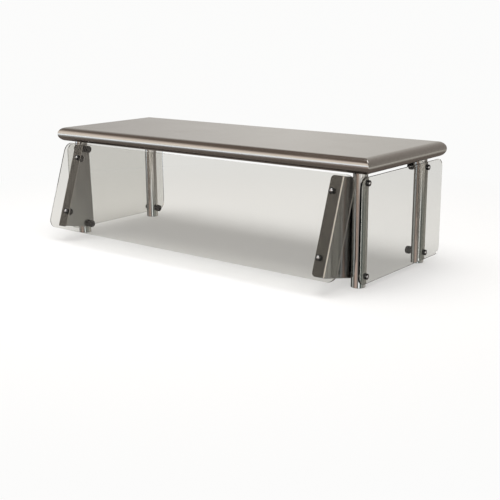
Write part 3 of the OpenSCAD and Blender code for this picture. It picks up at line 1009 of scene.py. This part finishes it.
def studio_floor():
    """A pale floor, round and flat, that glows in part: near the middle a share of glow lightens the
    guard's shadow on it, and away from the middle it fades into the backdrop.
    Reflections and looks from below pass through it."""
    verts, faces = shell(turned([(40.0, 0.0), (4.0, 0.0), (1.0, 0.0), (0.0, 0.0)], 96))
    mesh = bpy.data.meshes.new("studio floor")
    mesh.from_pydata(verts.tolist(), [], faces)
    made, tree, shader = material("pale floor", Base_Color=(0.82, 0.82, 0.815, 1), Roughness=0.9,
                                  Specular_IOR_Level=0.0)
    away = add(tree, "VectorMath", {0: place_on(tree)}, operation="LENGTH").outputs["Value"]
    glow = add(tree, "Emission", {"Color": BACKDROP})
    # painted light: a share of glow, 42 percent near the guard, lightens the shadow the guard casts on the
    # floor
    pale = blend_shaders(tree, spread(tree, away, 0.8, 1.7, 0.42, 1.0), shader.outputs[0], glow.outputs[0])
    depth = add(tree, "LightPath").outputs["Glossy Depth"]
    below = add(tree, "NewGeometry").outputs["Backfacing"]
    passing = math_node(tree, "MAXIMUM", math_node(tree, "GREATER_THAN", depth, 0.5), below)
    clear = add(tree, "BsdfTransparent")
    put_on(tree, blend_shaders(tree, passing, pale, clear.outputs[0]))
    mesh.materials.append(made)
    floor = bpy.data.objects.new("studio floor", mesh)
    bpy.context.scene.collection.objects.link(floor)
    floor.visible_shadow = False


def ramp(tree, value, stops):
    """Tones placed along a value from 0 to 1."""
    node = add(tree, "ValToRGB", {0: value})
    while len(node.color_ramp.elements) < len(stops):
        node.color_ramp.elements.new(0.5)
    for element, (place, tone) in zip(node.color_ramp.elements, stops):
        element.position = place
        element.color = (*tone, 1)
    return node.outputs[0]


def turn_share(degrees):
    """Degrees from +Y towards -X, -180 to 180, as a share of the turn from 0 to 1."""
    return (degrees + 180) / 360


def walls(tree, facing, stops):
    """Tones of the walls all round, by the degrees they stand at."""
    return ramp(tree, facing, [(turn_share(degrees), tone) for degrees, tone in stops])


def room_light():
    """A studio of warm grey walls, with narrow pale screens near the floor, a lit cloth to the
    front left, a dark band higher up and a bright opening straight overhead.

    The colour depends on a direction's degrees above the horizon and on the way it faces. It
    lights the guard and shows in it; straight looks see the backdrop instead.
    """
    world = bpy.data.worlds.new("studio")
    bpy.context.scene.world = world
    world.use_nodes = True
    tree = world.node_tree
    tree.nodes.clear()
    way = add(tree, "TexCoord").outputs["Generated"]
    part = add(tree, "SeparateXYZ", {0: way}).outputs
    rise = product(tree, math_node(tree, "ARCSINE", part["Z"]), 180 / math.pi)
    facing = math_node(tree, "ARCTAN2", product(tree, part["X"], -1.0), part["Y"])
    facing = math_node(tree, "ADD", math_node(tree, "DIVIDE", facing, 2 * math.pi), 0.5)
    screens = walls(tree, facing, [
        (-180, (0.66, 0.52, 0.46)), (-168, (0.50, 0.40, 0.36)), (-156, (0.20, 0.21, 0.21)),
        (-146, (0.24, 0.24, 0.24)), (-140, (1.9, 2.0, 2.1)), (-131, (1.7, 1.8, 1.85)),
        (-125, (0.16, 0.20, 0.19)), (-108, (0.10, 0.13, 0.12)), (-96, (0.44, 0.46, 0.43)),
        (-72, (0.30, 0.31, 0.28)), (-60, (0.40, 0.40, 0.37)), (-38, (0.66, 0.66, 0.62)),
        (-20, (0.46, 0.44, 0.40)), (15, (0.52, 0.50, 0.46)), (45, (0.40, 0.38, 0.36)),
        (70, (0.03, 0.03, 0.03)), (96, (0.04, 0.04, 0.04)), (106, (0.40, 0.42, 0.41)),
        (122, (0.60, 0.62, 0.60)), (134, (0.18, 0.17, 0.16)), (150, (0.30, 0.24, 0.21)),
        (166, (0.68, 0.52, 0.45))])
    upper = walls(tree, facing, [
        (-180, (0.40, 0.38, 0.35)), (-120, (0.34, 0.33, 0.32)), (-60, (0.30, 0.28, 0.26)),
        (-38, (0.24, 0.22, 0.20)), (-10, (0.36, 0.33, 0.31)), (22, (0.56, 0.54, 0.51)),
        (36, (0.72, 0.70, 0.67)), (52, (0.50, 0.48, 0.46)), (80, (0.30, 0.28, 0.26)),
        (104, (0.24, 0.21, 0.19)), (170, (0.42, 0.40, 0.37))])
    aside = distance(tree, facing, turn_share(138))
    lifted = math_node(tree, "SUBTRACT", rise,
                       spread(tree, facing, turn_share(139), turn_share(148), 0.0, 9.0))
    cloth = product(tree, spread(tree, aside, 0.07, 0.11, 1.0, 0.0),
                    spread(tree, lifted, 34.0, 38.0, 1.0, 0.0))
    cloth_tone = ramp(tree, spread(tree, lifted, -10.0, 36.0, 0.0, 1.0), [
        (0.0, (0.80, 0.88, 1.02)), (0.16, (1.7, 1.85, 2.0)), (0.30, (0.90, 0.85, 0.78)),
        (0.56, (1.2, 1.1, 1.0)), (1.0, (0.62, 0.52, 0.45))])
    middle = blend_colours(tree, cloth, upper, cloth_tone)
    beside = distance(tree, facing, turn_share(-140))
    window = product(tree, spread(tree, beside, 0.14, 0.17, 1.0, 0.0),
                     spread(tree, rise, 26.0, 29.0, 1.0, 0.0))
    middle = blend_colours(tree, window, middle, (1.15, 1.1, 1.05, 1))
    tone = blend_colours(tree, spread(tree, lifted, -11.5, -8.5, 0.0, 1.0), screens, middle)
    tone = blend_colours(tree, spread(tree, rise, -24.0, -17.0, 0.0, 1.0), (0.16, 0.135, 0.12, 1), tone)
    tone = blend_colours(tree, spread(tree, rise, 36.0, 42.0, 0.0, 1.0), tone, (0.16, 0.125, 0.105, 1))
    tone = blend_colours(tree, spread(tree, rise, 64.0, 74.0, 0.0, 1.0), tone, (3.2, 3.2, 3.2, 1))
    path = add(tree, "LightPath").outputs
    turned_by = math_node(tree, "ADD", path["Glossy Depth"], path["Diffuse Depth"])
    straight = math_node(tree, "LESS_THAN", turned_by, 0.5)
    through = product(tree, path["Is Transmission Ray"], straight)
    seen = math_node(tree, "MAXIMUM", path["Is Camera Ray"], through)
    shown = blend_colours(tree, seen, tone, BACKDROP)
    light = add(tree, "Background", {"Color": shown, "Strength": 1.0})
    add(tree, "OutputWorld", {"Surface": light.outputs[0]})


def soft_box():
    """A large soft box overhead that lights the floor and casts the soft shadow."""
    data = bpy.data.lights.new("soft box", "AREA")
    data.shape = "RECTANGLE"
    data.size, data.size_y = 3.2, 2.4
    data.energy = 78
    lamp = bpy.data.objects.new("soft box", data)
    lamp.location = (-0.2, -0.3, 3.0)
    lamp.visible_glossy = False
    bpy.context.scene.collection.objects.link(lamp)


studio_floor()
room_light()
soft_box()


# -------- camera

def aim_camera():
    """The camera stands to the front right and looks slightly down along the guard."""
    facing, fall, roll = math.radians(38.62), math.radians(14.24), math.radians(-0.40)
    back = Vector((math.sin(facing) * math.cos(fall), -math.cos(facing) * math.cos(fall),
                   math.sin(fall)))
    level = Vector((math.cos(facing), math.sin(facing), 0))
    above = back.cross(level)
    right = level * math.cos(roll) + above * math.sin(roll)
    up = above * math.cos(roll) - level * math.sin(roll)
    data = bpy.data.cameras.new("camera")
    data.sensor_width = 36.0
    data.lens = 65.4912
    camera = bpy.data.objects.new("camera", data)
    camera.rotation_mode = "QUATERNION"
    camera.location = (1.8326, -2.2390, 0.7189)
    camera.rotation_quaternion = Matrix((right, up, back)).transposed().to_quaternion()
    bpy.context.scene.collection.objects.link(camera)
    bpy.context.scene.camera = camera


aim_camera()
bpy.context.scene.view_settings.view_transform = "Standard"
